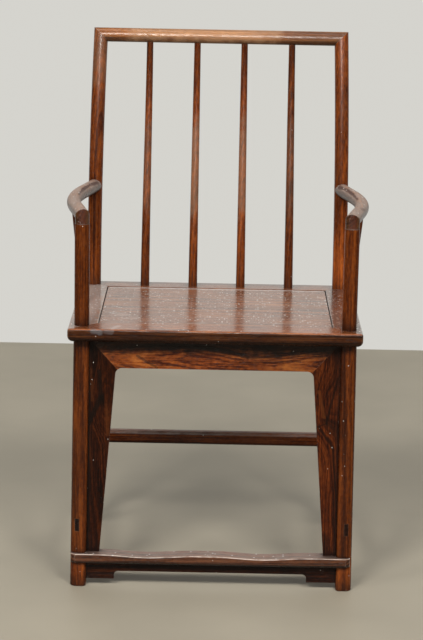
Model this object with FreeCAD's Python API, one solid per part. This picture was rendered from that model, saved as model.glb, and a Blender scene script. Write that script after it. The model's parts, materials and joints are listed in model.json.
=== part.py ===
import FreeCAD
import Part
import math
import os

V = FreeCAD.Vector

# All lengths are millimetres. X runs to the sitter's left hand (right in a front view),
# Y runs from the front of the seat to the back, Z runs up from the floor.

# Seat frame: four mitred rails round a floating panel
seat_width = 563.0
seat_depth = 455.0
seat_height = 523.0
rail_width = 55.5
rail_thickness = 26.0
rail_top_round = 4.0
rail_corner_round = 3.0
rail_inner_round = 1.5
rail_under_rise = 12.0
rail_under_set_back = 8.5
corner_tongue_width = 41.0
corner_tongue_thickness = 9.0
corner_tongue_lift = 2.5

# Seat panel and the two battens under it
panel_thickness = 12.0
panel_sink = 1.0
panel_gap = 1.5
panel_arris_round = 1.0
panel_tongue_length = 7.0
panel_tongue_thickness = 5.0
panel_tongue_drop = 6.0
panel_groove_spare = 1.0
batten_place_share = 0.372
batten_width = 26.0
batten_height = 13.0
dovetail_height = 3.0
dovetail_foot = 14.0
dovetail_head = 19.0
batten_tenon_length = 9.0
batten_tenon_width = 14.0
batten_tenon_height = 8.0

# Legs: rounded outside, square inside, standing slightly apart at the floor
leg_width = 31.0
leg_outer_round = 13.5
leg_side_round = 8.0
leg_inner_round = 1.8
foot_spread_x = 4.6
foot_spread_y = 3.5
foot_ease = 1.5
front_post_side_inset = 25.3
front_post_end_inset = 39.0
back_post_side_inset = 26.1
back_post_end_inset = 29.5
post_radius = 14.4

# Back: posts curving backwards, crest rail and four tapering S-curved spindles
crest_height = 1034.0
crest_radius = 14.4
back_lean = 66.0
back_lean_power = 2.0
post_top_inset = 6.5
top_straight = 34.0
curve_stations = 9
crest_tenon_radius = 5.0
crest_tenon_length = 9.0
spindle_foot_shares = (0.194, 0.585)
spindle_top_share = 0.98
spindle_foot_radius = 9.2
spindle_top_radius = 6.6
spindle_foot_tenon_radius = 5.6
spindle_foot_tenon_length = 14.0
spindle_top_tenon_radius = 4.2
spindle_top_tenon_reach = 4.0

# Arms: round rails bowed outwards, turned down over the front posts
arm_radius = 13.7
arm_back_rise = 205.5
arm_front_rise = 212.5
arm_bow = 29.0
arm_end_angle = 11.0
arm_cap_skirt = 2.5
arm_back_tenon_radius = 6.5
arm_back_tenon_length = 10.0
arm_front_tenon_radius = 6.5
arm_front_tenon_length = 19.0
strut_foot_side_inset = 15.0
strut_foot_behind_middle = 10.0
strut_foot_radius = 8.6
strut_top_radius = 7.2
strut_stations = 7
strut_tenon_radius = 4.6
strut_foot_tenon_length = 13.0
strut_top_tenon_length = 9.0

# Front arch under the seat: apron with two tapering side strips
board_thickness = 12.0
apron_drop = 57.0
strip_top_width = 51.2
strip_foot_width = 25.2
arch_round = 13.0
board_tongue_thickness = 5.0
board_tongue_length = 4.0
mitre_tenon_length = 10.0
mitre_tenon_width = 22.0

# Plain spandrelled aprons at the sides and the back
side_board_thickness = 10.0
side_apron_drop = 42.0
spandrel_drop = 86.0
spandrel_width = 15.0
spandrel_round = 20.0
spandrel_toe_round = 5.0

# Footrest in front of the legs and its apron, placed from the middle of the front legs
footrest_top = 69.0
footrest_thickness = 19.5
footrest_shift = 1.4
footrest_end_inset = 2.8
footrest_nose = 26.6
footrest_heel = 9.5
footrest_housing_nose = 7.5
footrest_arris = 2.0
footrest_under_round = 6.0
footrest_corner_width = 8.5
footrest_corner_depth = 5.0
footrest_tenon_length = 11.0
footrest_tenon_width = 13.0
footrest_tenon_height = 9.0
wear_depth = 4.2
wear_centre_shares = (-0.459, 0.36)
wear_half_shares = (0.35, 0.338)
wear_stations = 9
foot_apron_thickness = 10.0
foot_apron_nose = 8.5
foot_apron_middle = 30.0
foot_apron_end = 14.0
foot_apron_toe_width = 55.8
foot_apron_round = 9.0
foot_apron_toe_round = 1.0

# Stretchers, lowest at the sides and highest at the back
stretcher_height = 28.0
stretcher_width = 22.0
stretcher_round = 8.0
side_stretcher_centre = 126.0
through_tenon_offset = 3.0
through_tenon_width = 8.6
through_tenon_height = 25.2
blind_tenon_depth = 13.0
back_stretcher_centre = 194.0
back_stretcher_width = 24.0
back_tenon_width = 9.0
back_tenon_height = 20.0

seat_underside = seat_height - rail_thickness
panel_top = seat_height - panel_sink
panel_underside = panel_top - panel_thickness
half_seat = seat_width / 2
half_depth = seat_depth / 2
half_leg = leg_width / 2
inner_x = half_seat - rail_width
inner_y = half_depth - rail_width
front_post_x = half_seat - front_post_side_inset
front_post_y = front_post_end_inset - half_depth
back_post_x = half_seat - back_post_side_inset
back_post_y = half_depth - back_post_end_inset
arm_back_height = seat_height + arm_back_rise
arm_front_height = seat_height + arm_front_rise
half_share = 0.5
round_mid_share = 1 - math.cos(math.pi / 4)
beyond = 2000.0

ORIGIN = V(0, 0, 0)
ALONG_X = V(1, 0, 0)
ALONG_Y = V(0, 1, 0)
UP = V(0, 0, 1)


def box(x_from, x_to, y_from, y_to, z_from, z_to):
    return Part.makeBox(x_to - x_from, y_to - y_from, z_to - z_from, V(x_from, y_from, z_from))


def rod(start, end, radius):
    along = end - start
    return Part.makeCylinder(radius, along.Length, start, along)


def prism(points, along):
    face = Part.Face(Part.makePolygon(list(points) + [points[0]]))
    return face.extrude(along)


def half_space(point, normal):
    """A very large block whose near face passes through the point."""
    block = Part.makeBox(beyond, beyond, beyond, V(-beyond / 2, -beyond / 2, 0))
    block.Placement = FreeCAD.Placement(point, FreeCAD.Rotation(UP, normal))
    return block


def fused(first, *others):
    return first.fuse(list(others)).removeSplitter()


def left_copy(shape):
    return shape.mirror(ORIGIN, ALONG_X)


def single(shape):
    """The largest solid of a cut, leaving any loose crumbs behind."""
    return max(shape.Solids, key=lambda solid: solid.Volume)


def rounded_outline(corners, rounds):
    """Closed wire through the corners, each one eased by its own radius."""
    count = len(corners)
    starts = []
    ends = []
    middles = []
    for index, corner in enumerate(corners):
        back = (corners[index - 1] - corner).normalize()
        ahead = (corners[(index + 1) % count] - corner).normalize()
        half_angle = back.getAngle(ahead) / 2
        reach = rounds[index] / math.tan(half_angle)
        bisector = (back + ahead).normalize()
        hub = rounds[index] / math.sin(half_angle)
        starts.append(corner + back * reach)
        ends.append(corner + ahead * reach)
        middles.append(corner + bisector * (hub - rounds[index]))
    edges = []
    for index in range(count):
        following = (index + 1) % count
        if rounds[index] > 0:
            edges.append(Part.Arc(starts[index], middles[index], ends[index]).toShape())
        edges.append(Part.LineSegment(ends[index], starts[following]).toShape())
    return Part.Wire(edges)


def rounded_prism(corners, rounds, along):
    return Part.Face(rounded_outline(corners, rounds)).extrude(along)


def ring_at(point, tangent, radius):
    ring = Part.makeCircle(radius, ORIGIN, UP)
    ring.Placement = FreeCAD.Placement(point, FreeCAD.Rotation(UP, tangent))
    return Part.Wire([ring])


def round_loft(points, tangents, radii):
    rings = [ring_at(*station) for station in zip(points, tangents, radii)]
    return Part.makeLoft(rings, True, False)


def line_tangents(points):
    """Directions along a row of points, by the neighbours on either side."""
    last = len(points) - 1
    found = []
    for index in range(len(points)):
        before = points[max(index - 1, 0)]
        after = points[min(index + 1, last)]
        found.append((after - before).normalize())
    return found


# Legs below the seat

def leg_centre(post_x, post_y, height):
    """Centre of a leg at a height; the feet stand a little outside the posts."""
    spread_share = (seat_underside - height) / seat_underside
    outward_y = math.copysign(foot_spread_y, post_y)
    return V(post_x + foot_spread_x * spread_share, post_y + outward_y * spread_share, height)


def lower_leg(post_x, post_y):
    foot = leg_centre(post_x, post_y, 0)
    top = leg_centre(post_x, post_y, seat_underside)
    facing = math.copysign(half_leg, post_y)
    corners = [
        foot + V(half_leg, facing, 0),
        foot + V(-half_leg, facing, 0),
        foot + V(-half_leg, -facing, 0),
        foot + V(half_leg, -facing, 0),
    ]
    rounds = [leg_outer_round, leg_side_round, leg_inner_round, leg_side_round]
    leg = rounded_prism(corners, rounds, top - foot)
    sole_edges = [edge for edge in leg.Edges if edge.BoundBox.ZMax < foot_ease]
    return leg.makeChamfer(foot_ease, sole_edges)


def front_leg_body():
    low = V(front_post_x, front_post_y, seat_underside)
    top = V(front_post_x, front_post_y, arm_seam_height())
    tenon_top = top + UP * arm_front_tenon_length
    post = rod(low, top, post_radius)
    tenon = rod(low, tenon_top, arm_front_tenon_radius)
    return fused(lower_leg(front_post_x, front_post_y), post, tenon)


# Curve of the back posts

curve_height = crest_height - top_straight - seat_height


def lean_share(height_share):
    return height_share ** back_lean_power


def post_curve(foot_x, top_x):
    """Centre points from the seat up to the start of the straight top part."""
    points = []
    for index in range(curve_stations):
        height_share = index / (curve_stations - 1)
        shift = lean_share(height_share)
        x = foot_x + (top_x - foot_x) * shift
        y = back_post_y + curve_lean * shift
        points.append(V(x, y, seat_height + curve_height * height_share))
    return points


def top_slope():
    """Backward lean per unit of height where the curve ends."""
    return back_lean * back_lean_power / (curve_height + back_lean_power * top_straight)


curve_lean = back_lean - top_slope() * top_straight
crest_y = back_post_y + back_lean


def post_tangents(points, foot_x, top_x):
    found = line_tangents(points)
    found[0] = UP
    sideways = (top_x - foot_x) * back_lean_power / curve_height
    found[-1] = V(sideways, top_slope(), 1).normalize()
    return found


def back_post():
    """Curved post from the seat up to the axis of the crest rail, with its end point and direction."""
    top_x = back_post_x - post_top_inset
    points = post_curve(back_post_x, top_x)
    tangents = post_tangents(points, back_post_x, top_x)
    curved = round_loft(points, tangents, [post_radius] * curve_stations)
    end_tangent = tangents[-1]
    run = top_straight / end_tangent.z
    crest_point = points[-1] + end_tangent * run
    straight = rod(points[-1], crest_point + end_tangent * crest_radius * 2, post_radius)
    return curved.fuse(straight), crest_point, end_tangent


def crest_mitre(crest_point, end_tangent):
    """Everything on the crest rail's side of the right-hand mitre."""
    return half_space(crest_point, end_tangent - ALONG_X)


def back_leg_body():
    body, crest_point, end_tangent = back_post()
    post = body.cut(crest_mitre(crest_point, end_tangent))
    low = V(back_post_x, back_post_y, seat_underside)
    neck = rod(low, V(back_post_x, back_post_y, seat_height), post_radius)
    tenon_end = crest_point + end_tangent * crest_tenon_length
    tenon = rod(crest_point - end_tangent * crest_tenon_length, tenon_end, crest_tenon_radius)
    return fused(lower_leg(back_post_x, back_post_y), neck, post, tenon), crest_point, end_tangent


def crest_rail_body(crest_point, end_tangent):
    half_bar = ALONG_X * (crest_point.x + crest_radius * 2)
    middle = V(0, crest_point.y, crest_point.z)
    bar = rod(middle - half_bar, middle + half_bar, crest_radius)
    right = crest_mitre(crest_point, end_tangent)
    return bar.common(right).common(left_copy(right))


def spindle_body(foot_x, crest):
    """Tapering spindle with a gentle S-curve, upright where it meets the seat and the crest rail."""
    foot = V(foot_x, back_post_y, seat_height)
    head = V(foot_x * spindle_top_share, crest_y, crest_height)
    points = []
    radii = []
    for index in range(curve_stations):
        height_share = index / (curve_stations - 1)
        swing = (1 - math.cos(math.pi * height_share)) / 2
        x = foot.x + (head.x - foot.x) * height_share
        y = foot.y + (head.y - foot.y) * swing
        points.append(V(x, y, foot.z + (head.z - foot.z) * height_share))
        radii.append(spindle_foot_radius + (spindle_top_radius - spindle_foot_radius) * height_share)
    tangents = line_tangents(points)
    tangents[0] = UP
    tangents[-1] = UP
    shaft = single(round_loft(points, tangents, radii).cut(crest))
    tenon_root = foot + UP * spindle_foot_tenon_radius
    foot_tenon = rod(foot - UP * spindle_foot_tenon_length, tenon_root, spindle_foot_tenon_radius)
    top_tenon_root = head - UP * (crest_radius + spindle_top_radius)
    top_tenon = rod(top_tenon_root, head - UP * spindle_top_tenon_reach, spindle_top_tenon_radius)
    return fused(shaft, foot_tenon, top_tenon)


# Arms and their struts

def arm_seam_height():
    return arm_front_height - arm_radius - arm_cap_skirt


def arm_back_point():
    height_share = (arm_back_height - seat_height) / curve_height
    shift = lean_share(height_share)
    x = back_post_x - post_top_inset * shift
    return V(x, back_post_y + curve_lean * shift, arm_back_height)


def arm_frame():
    """Ends of the arm's centre line, its direction and the direction in which it bows."""
    back = arm_back_point()
    front = V(front_post_x, front_post_y, arm_front_height)
    ahead = (front - back).normalize()
    outward = (ALONG_X - ahead * ALONG_X.dot(ahead)).normalize()
    return back, front, ahead, outward


def arm_apex():
    back, front, ahead, outward = arm_frame()
    return (back + front) * half_share + outward * arm_bow


def arm_rail_body(back_leg):
    """Two straight runs joined by one arc, with a mitred turn-down over the front post."""
    back, front, ahead, outward = arm_frame()
    half_chord = (front - back).Length / 2
    angle = math.radians(arm_end_angle)
    bend_radius = (half_chord * math.tan(angle) - arm_bow) / (1 / math.cos(angle) - 1)
    run = (half_chord - bend_radius * math.sin(angle)) / math.cos(angle)
    leaving = ahead * math.cos(angle) + outward * math.sin(angle)
    arriving = ahead * math.cos(angle) - outward * math.sin(angle)
    bend_start = back + leaving * run
    bend_centre = arm_apex() - outward * bend_radius
    disc = Part.Face(ring_at(bend_start, leaving, arm_radius))
    bend = disc.revolve(bend_centre, leaving.cross(arriving), arm_end_angle * 2)
    bend_end = front - arriving * run
    rear_run = rod(back, bend_start, arm_radius)
    front_run = rod(bend_end, front + arriving * arm_radius * 2, arm_radius)
    mitre = half_space(front, UP - arriving)
    seam = V(front.x, front.y, arm_seam_height())
    cap = rod(seam, front + UP * arm_radius * 2, arm_radius).cut(mitre)
    whole = fused(bend, rear_run, front_run.common(mitre), cap)
    shouldered = single(whole.cut(back_leg))
    tenon_start = back + leaving * (post_radius - arm_back_tenon_length)
    tenon = rod(tenon_start, back + leaving * post_radius * 2, arm_back_tenon_radius)
    return fused(shouldered, tenon)


def strut_body(arm):
    """Curved strut between the side rail and the underside of the arm."""
    foot = V(half_seat - strut_foot_side_inset, strut_foot_behind_middle, seat_height)
    head = arm_apex()
    last = strut_stations - 1
    points = []
    radii = []
    for index in range(strut_stations):
        height_share = index / last
        swing = (1 - math.cos(math.pi * height_share)) / 2
        bend = (swing + height_share * height_share) / 2
        flat = foot + (head - foot) * bend
        points.append(V(flat.x, flat.y, foot.z + (head.z - foot.z) * height_share))
        radii.append(strut_foot_radius + (strut_top_radius - strut_foot_radius) * height_share)
    tangents = line_tangents(points)
    tangents[0] = UP
    shaft = single(round_loft(points, tangents, radii).cut(arm))
    foot_end = foot - UP * strut_foot_tenon_length
    foot_tenon = rod(foot_end, foot + UP * strut_tenon_radius, strut_tenon_radius)
    end_tangent = tangents[-1]
    head_start = head - end_tangent * (arm_radius + strut_top_radius)
    head_end = head - end_tangent * (arm_radius - strut_top_tenon_length)
    head_tenon = rod(head_start, head_end, strut_tenon_radius)
    return fused(shaft, foot_tenon, head_tenon)


# Seat frame, panel and battens

def rail_profile(half_span, across):
    """Section of the whole seat blank: rounded top edge, lower edge undercut by an arc that ends upright."""
    top = seat_height
    low = seat_underside
    turn = low + rail_under_rise
    set_in = half_span - rail_under_set_back
    eased = half_span - rail_top_round
    under_radius = (rail_under_set_back ** 2 + rail_under_rise ** 2) / (rail_under_set_back * 2)
    half_sweep = math.asin(rail_under_rise / under_radius) / 2
    mid_in = half_span - under_radius * (1 - math.cos(half_sweep))
    mid_up = turn - under_radius * math.sin(half_sweep)
    top_mid_in = half_span - rail_top_round * round_mid_share
    top_mid_down = top - rail_top_round * round_mid_share

    def at(distance, height):
        return across * distance + UP * height

    shoulder = top - rail_top_round
    edges = [
        Part.LineSegment(at(-set_in, low), at(set_in, low)),
        Part.Arc(at(set_in, low), at(mid_in, mid_up), at(half_span, turn)),
        Part.LineSegment(at(half_span, turn), at(half_span, shoulder)),
        Part.Arc(at(half_span, shoulder), at(top_mid_in, top_mid_down), at(eased, top)),
        Part.LineSegment(at(eased, top), at(-eased, top)),
        Part.Arc(at(-eased, top), at(-top_mid_in, top_mid_down), at(-half_span, shoulder)),
        Part.LineSegment(at(-half_span, shoulder), at(-half_span, turn)),
        Part.Arc(at(-half_span, turn), at(-mid_in, mid_up), at(-set_in, low)),
    ]
    return Part.Face(Part.Wire([edge.toShape() for edge in edges]))


def seat_blank():
    """The whole seat frame before it is parted: the section taken across and along, with its corners eased."""
    crosswise = rail_profile(half_seat, ALONG_X)
    crosswise.translate(-ALONG_Y * (beyond / 2))
    lengthwise = rail_profile(half_depth, ALONG_Y)
    lengthwise.translate(-ALONG_X * (beyond / 2))
    blank = crosswise.extrude(ALONG_Y * beyond).common(lengthwise.extrude(ALONG_X * beyond))
    corner_edges = []
    for edge in blank.Edges:
        narrow = max(edge.BoundBox.XLength, edge.BoundBox.YLength) < rail_thickness
        if narrow and edge.BoundBox.ZLength > 0:
            corner_edges.append(edge)
    return blank.makeFillet(rail_corner_round, corner_edges)


def rail_region(toward_front):
    """Mitred plan of a front or back rail, taken through the full height of the blank."""
    side = -1 if toward_front else 1
    points = [
        V(-half_seat, side * half_depth, seat_underside),
        V(half_seat, side * half_depth, seat_underside),
        V(inner_x, side * inner_y, seat_underside),
        V(-inner_x, side * inner_y, seat_underside),
    ]
    return prism(points, UP * rail_thickness)


def side_region():
    points = [
        V(half_seat, -half_depth, seat_underside),
        V(half_seat, half_depth, seat_underside),
        V(inner_x, inner_y, seat_underside),
        V(inner_x, -inner_y, seat_underside),
    ]
    return prism(points, UP * rail_thickness)


def corner_tongues(side):
    """Tongues of a front or back rail that lie inside the corners of the side rails."""
    middle = seat_underside + rail_thickness / 2 + corner_tongue_lift
    low = middle - corner_tongue_thickness / 2
    high = middle + corner_tongue_thickness / 2
    edge_in = side * inner_y
    edge_out = side * (inner_y + corner_tongue_width)
    y_from = min(edge_in, edge_out)
    y_to = max(edge_in, edge_out)
    right = box(inner_x, half_seat, y_from, y_to, low, high)
    return [right, left_copy(right)]


def panel_grooves():
    """The space the panel's tongues may move in."""
    top = seat_height - panel_tongue_drop
    reach_x = inner_x + panel_tongue_length + panel_groove_spare - panel_gap
    reach_y = inner_y + panel_tongue_length + panel_groove_spare - panel_gap
    return box(-reach_x, reach_x, -reach_y, reach_y, top - panel_tongue_thickness, top)


def eased_inside(rail, across, distance):
    """The rail with its top arris rounded where it meets the panel."""
    inner_edges = []
    for edge in rail.Edges:
        places = [vertex.Point for vertex in edge.Vertexes]
        at_top = all(place.z > seat_height - rail_inner_round for place in places)
        inside = all(abs(place.dot(across) - distance) < rail_inner_round for place in places)
        if at_top and inside:
            inner_edges.append(edge)
    return rail.makeFillet(rail_inner_round, inner_edges)


def long_rail(side, blank):
    cut_to_plan = eased_inside(blank.common(rail_region(side < 0)), ALONG_Y, side * inner_y)
    return fused(cut_to_plan, *corner_tongues(side)).cut(panel_grooves())


def side_rail(blank):
    rail = eased_inside(blank.common(side_region()), ALONG_X, inner_x)
    rail = rail.cut(corner_tongues(-1)).cut(corner_tongues(1))
    return rail.cut(panel_grooves())


def seat_panel_body():
    half_x = inner_x - panel_gap
    half_y = inner_y - panel_gap
    board = box(-half_x, half_x, -half_y, half_y, panel_underside, panel_top)
    top_edges = [edge for edge in board.Edges if edge.BoundBox.ZMin > panel_top - panel_arris_round]
    board = board.makeFillet(panel_arris_round, top_edges)
    tongue_x = half_x + panel_tongue_length
    tongue_y = half_y + panel_tongue_length
    top = seat_height - panel_tongue_drop
    tongue = box(-tongue_x, tongue_x, -tongue_y, tongue_y, top - panel_tongue_thickness, top)
    return fused(board, tongue)


def batten_body():
    """Cross batten with a sliding dovetail into the panel and a tenon at each end."""
    top = panel_underside
    low = top - batten_height
    half_width = batten_width / 2
    centre = inner_x * batten_place_share
    bar = box(centre - half_width, centre + half_width, -inner_y, inner_y, low, top)
    foot = dovetail_foot / 2
    head = dovetail_head / 2
    points = [
        V(centre - foot, -inner_y + panel_gap, top),
        V(centre + foot, -inner_y + panel_gap, top),
        V(centre + head, -inner_y + panel_gap, top + dovetail_height),
        V(centre - head, -inner_y + panel_gap, top + dovetail_height),
    ]
    dovetail = prism(points, ALONG_Y * (inner_y - panel_gap) * 2)
    half_tenon = batten_tenon_width / 2
    tenon_reach = inner_y + batten_tenon_length
    middle = (low + top) / 2
    tenon_low = middle - batten_tenon_height / 2
    tenon_high = middle + batten_tenon_height / 2
    tenon = box(centre - half_tenon, centre + half_tenon, -tenon_reach, tenon_reach, tenon_low, tenon_high)
    return fused(bar, dovetail, tenon)


# Front arch: apron and side strips under the seat

def inner_face_x(post_x, post_y, height):
    return leg_centre(post_x, post_y, height).x - half_leg


def opening_edge_x(height):
    """Half width of the arch opening, narrowing from the footrest up to the apron."""
    apron_low = seat_underside - apron_drop
    top_x = inner_face_x(front_post_x, front_post_y, apron_low) - strip_top_width
    foot_x = inner_face_x(front_post_x, front_post_y, footrest_top) - strip_foot_width
    height_share = (height - footrest_top) / (apron_low - footrest_top)
    return foot_x + (top_x - foot_x) * height_share


def arch_opening():
    low = footrest_top - beyond
    apron_low = seat_underside - apron_drop
    y = front_post_y - beyond / 2
    corners = [
        V(-opening_edge_x(low), y, low),
        V(opening_edge_x(low), y, low),
        V(opening_edge_x(apron_low), y, apron_low),
        V(-opening_edge_x(apron_low), y, apron_low),
    ]
    rounds = [0, 0, arch_round, arch_round]
    return rounded_prism(corners, rounds, ALONG_Y * beyond)


def arch_mitre_points():
    """Outer corner of the mitre under the seat and its inner end on the arch's round."""
    outer = V(inner_face_x(front_post_x, front_post_y, seat_underside), 0, seat_underside)
    apron_low = seat_underside - apron_drop
    eased = arch_round * round_mid_share
    inner = V(opening_edge_x(apron_low) - eased, 0, apron_low - eased)
    return outer, inner


def apron_side_of_mitre():
    """Everything above the two mitres, as one wedge-shaped block."""
    outer, inner = arch_mitre_points()
    run = inner - outer
    far_in = outer + run * 2
    y = front_post_y - beyond / 2
    points = [
        V(outer.x, y, outer.z),
        V(far_in.x, y, far_in.z),
        V(-far_in.x, y, far_in.z),
        V(-outer.x, y, outer.z),
    ]
    return prism(points, ALONG_Y * beyond)


def board_slab(x_from, x_to, z_from, z_to, thickness):
    half = thickness / 2
    return box(x_from, x_to, front_post_y - half, front_post_y + half, z_from, z_to)


def mitre_tenon():
    """Small tenon across the right-hand mitre of the arch."""
    outer, inner = arch_mitre_points()
    middle = (outer + inner) * half_share
    along = (outer - inner).normalize()
    across = V(-along.z, 0, along.x)
    half_width = along * (mitre_tenon_width / 2)
    depth = across * mitre_tenon_length
    y = front_post_y - board_tongue_thickness / 2
    points = [
        middle - half_width - depth,
        middle + half_width - depth,
        middle + half_width + depth,
        middle - half_width + depth,
    ]
    return prism([V(point.x, y, point.z) for point in points], ALONG_Y * board_tongue_thickness)


def front_apron_body():
    reach = inner_face_x(front_post_x, front_post_y, seat_underside)
    slab = board_slab(-reach, reach, seat_underside - apron_drop * 2, seat_underside, board_thickness)
    board = slab.cut(arch_opening()).common(apron_side_of_mitre())
    tongue_reach = reach - apron_drop / 2
    tongue = board_slab(
        -tongue_reach, tongue_reach,
        seat_underside - board_tongue_length, seat_underside + board_tongue_length,
        board_tongue_thickness)
    return fused(board, tongue).cut([mitre_tenon(), left_copy(mitre_tenon())])


def strip_outline(offset, z_from, z_to, thickness):
    """Upright board whose outer edge follows the leg, moved outwards by an offset."""
    y = front_post_y - thickness / 2
    inside = opening_edge_x(z_to) - arch_round
    points = [
        V(inside, y, z_from),
        V(inner_face_x(front_post_x, front_post_y, z_from) + offset, y, z_from),
        V(inner_face_x(front_post_x, front_post_y, z_to) + offset, y, z_to),
        V(inside, y, z_to),
    ]
    return prism(points, ALONG_Y * thickness)


def front_strip_body():
    board = strip_outline(0, footrest_top, seat_underside, board_thickness)
    board = single(board.cut(arch_opening()).cut(apron_side_of_mitre()))
    tongue_low = footrest_top - board_tongue_length
    tongue_high = seat_underside - apron_drop / 2
    tongue = strip_outline(board_tongue_length, tongue_low, tongue_high, board_tongue_thickness)
    tongue = single(tongue.cut(arch_opening()).cut(apron_side_of_mitre()))
    return fused(board, tongue, mitre_tenon())


# Side and back aprons

def spandrelled_board(span_from, span_to, across):
    """Straight apron with short spandrels running down the legs, drawn along one axis."""
    top = seat_underside
    low = top - side_apron_drop
    end = top - spandrel_drop
    inside_from = span_from + spandrel_width
    inside_to = span_to - spandrel_width

    def at(distance, height):
        return across * distance + UP * height

    corners = [
        at(span_from, top),
        at(span_from, end),
        at(inside_from, end),
        at(inside_from, low),
        at(inside_to, low),
        at(inside_to, end),
        at(span_to, end),
        at(span_to, top),
    ]
    rounds = [0, 0, spandrel_toe_round, spandrel_round, spandrel_round, spandrel_toe_round, 0, 0]
    return Part.Face(rounded_outline(corners, rounds))


def tongued_board(span_from, span_to, across, through):
    """Spandrelled board with a tongue all round its upper and outer edges."""
    half = side_board_thickness / 2
    board = spandrelled_board(span_from, span_to, across)
    board.translate(-through * half)
    board = board.extrude(through * side_board_thickness)
    grown_from = span_from - board_tongue_length
    grown_to = span_to + board_tongue_length
    low = seat_underside - spandrel_drop + board_tongue_length
    half_tongue = board_tongue_thickness / 2
    frame = [
        across * grown_from + UP * low,
        across * grown_to + UP * low,
        across * grown_to + UP * seat_underside,
        across * grown_from + UP * seat_underside,
    ]
    sheet = prism([point - through * half_tongue for point in frame], through * board_tongue_thickness)
    middle_from = span_from + spandrel_width
    middle_to = span_to - spandrel_width
    gap = [
        across * middle_from + UP * low,
        across * middle_to + UP * low,
        across * middle_to + UP * (seat_underside - side_apron_drop / 2),
        across * middle_from + UP * (seat_underside - side_apron_drop / 2),
    ]
    gap_block = prism([point - through * half_tongue for point in gap], through * board_tongue_thickness)
    crown = [
        across * middle_from + UP * (seat_underside - board_tongue_length),
        across * middle_to + UP * (seat_underside - board_tongue_length),
        across * middle_to + UP * (seat_underside + board_tongue_length),
        across * middle_from + UP * (seat_underside + board_tongue_length),
    ]
    crown_block = prism([point - through * half_tongue for point in crown], through * board_tongue_thickness)
    return board, sheet.cut(gap_block).fuse(crown_block)


def side_apron_body(front_leg, back_leg):
    board, tongues = tongued_board(front_post_y + half_leg, back_post_y - half_leg, ALONG_Y, ALONG_X)
    middle = (front_post_x + back_post_x) / 2
    board.translate(ALONG_X * middle)
    tongues.translate(ALONG_X * middle)
    scribed = single(board.cut([front_leg, back_leg]))
    return fused(scribed, tongues)


def back_apron_body(back_leg):
    reach = inner_face_x(back_post_x, back_post_y, seat_underside)
    board, tongues = tongued_board(-reach, reach, ALONG_X, ALONG_Y)
    board.translate(ALONG_Y * back_post_y)
    tongues.translate(ALONG_Y * back_post_y)
    scribed = single(board.cut([back_leg, left_copy(back_leg)]))
    return fused(scribed, tongues)


# Footrest and its apron

footrest_front = front_post_y - footrest_nose
footrest_housing_back = front_post_y - footrest_housing_nose
footrest_back = front_post_y + footrest_heel


def footrest_tenon(leg_x):
    """Blind tenon of the footrest in the inner face of the right leg."""
    middle = (footrest_housing_back + footrest_back) / 2
    z = footrest_top - footrest_thickness / 2
    start = leg_x - half_leg - footrest_tenon_length
    end = leg_x - half_leg + footrest_tenon_length
    half_width = footrest_tenon_width / 2
    half_height = footrest_tenon_height / 2
    return box(start, end, middle - half_width, middle + half_width, z - half_height, z + half_height)


def worn_edge(centre, half_span):
    """Upper edge of one hollow, level where it runs out on either side."""
    points = []
    for index in range(wear_stations):
        across_share = index / (wear_stations - 1) * 2 - 1
        drop = wear_depth * (1 + math.cos(math.pi * across_share)) / 2
        points.append(V(centre + half_span * across_share, footrest_front, footrest_top - drop))
    curve = Part.BSplineCurve()
    curve.interpolate(Points=points, InitialTangent=ALONG_X, FinalTangent=ALONG_X)
    return curve.toShape()


def footrest_elevation():
    """Front outline of the footrest, with a hollow worn by each foot."""
    low = footrest_top - footrest_thickness
    half_length = leg_centre(front_post_x, front_post_y, footrest_top).x + half_leg - footrest_end_inset
    y = footrest_front
    left = V(-half_length - footrest_shift, y, footrest_top)
    right = V(half_length - footrest_shift, y, footrest_top)
    low_left = V(left.x, y, low)
    low_right = V(right.x, y, low)
    edges = [Part.LineSegment(low_left, left).toShape()]
    reached = left
    for centre_share, reach_share in zip(wear_centre_shares, wear_half_shares):
        hollow = worn_edge(half_length * centre_share, half_length * reach_share)
        edges.append(Part.LineSegment(reached, hollow.Vertexes[0].Point).toShape())
        edges.append(hollow)
        reached = hollow.Vertexes[-1].Point
    edges.append(Part.LineSegment(reached, right).toShape())
    edges.append(Part.LineSegment(right, low_right).toShape())
    edges.append(Part.LineSegment(low_right, low_left).toShape())
    return Part.Wire(edges)


def footrest_corner(end_x, side):
    """Piece sawn off the footrest's front corner at the given end."""
    on_front = V(end_x - side * footrest_corner_width, footrest_front, 0)
    on_end = V(end_x, footrest_front + footrest_corner_depth, 0)
    run = on_end - on_front
    first = on_front - run
    last = on_end + run
    outline = Part.makePolygon([first, V(last.x, first.y, 0), last, first])
    return Part.Face(outline).extrude(UP * footrest_top)


def front_edges(board, low, high):
    """Edges round the footrest's front that lie between two heights."""
    behind = footrest_front + footrest_corner_depth * 2
    found = []
    for edge in board.Edges:
        bounds = edge.BoundBox
        if bounds.YMax < behind and bounds.ZMin > low and bounds.ZMax < high:
            found.append(edge)
    return found


def footrest_body(front_leg):
    low = footrest_top - footrest_thickness
    foot = leg_centre(front_post_x, front_post_y, footrest_top)
    board = Part.Face(footrest_elevation()).extrude(ALONG_Y * (footrest_back - footrest_front))
    ends = board.BoundBox
    behind_leg = box(foot.x, foot.x + leg_width, footrest_housing_back, footrest_back, low, footrest_top)
    corners = [footrest_corner(ends.XMin, -1), footrest_corner(ends.XMax, 1)]
    board = single(board.cut([behind_leg, left_copy(behind_leg)] + corners))
    middle = low + footrest_thickness / 2
    board = board.makeFillet(footrest_arris, front_edges(board, middle, footrest_top + footrest_arris))
    board = board.makeFillet(footrest_under_round, front_edges(board, low - footrest_arris, middle))
    board = board.cut([front_leg, left_copy(front_leg)])
    tenon = footrest_tenon(foot.x)
    return fused(single(board), tenon, left_copy(tenon))


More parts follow.
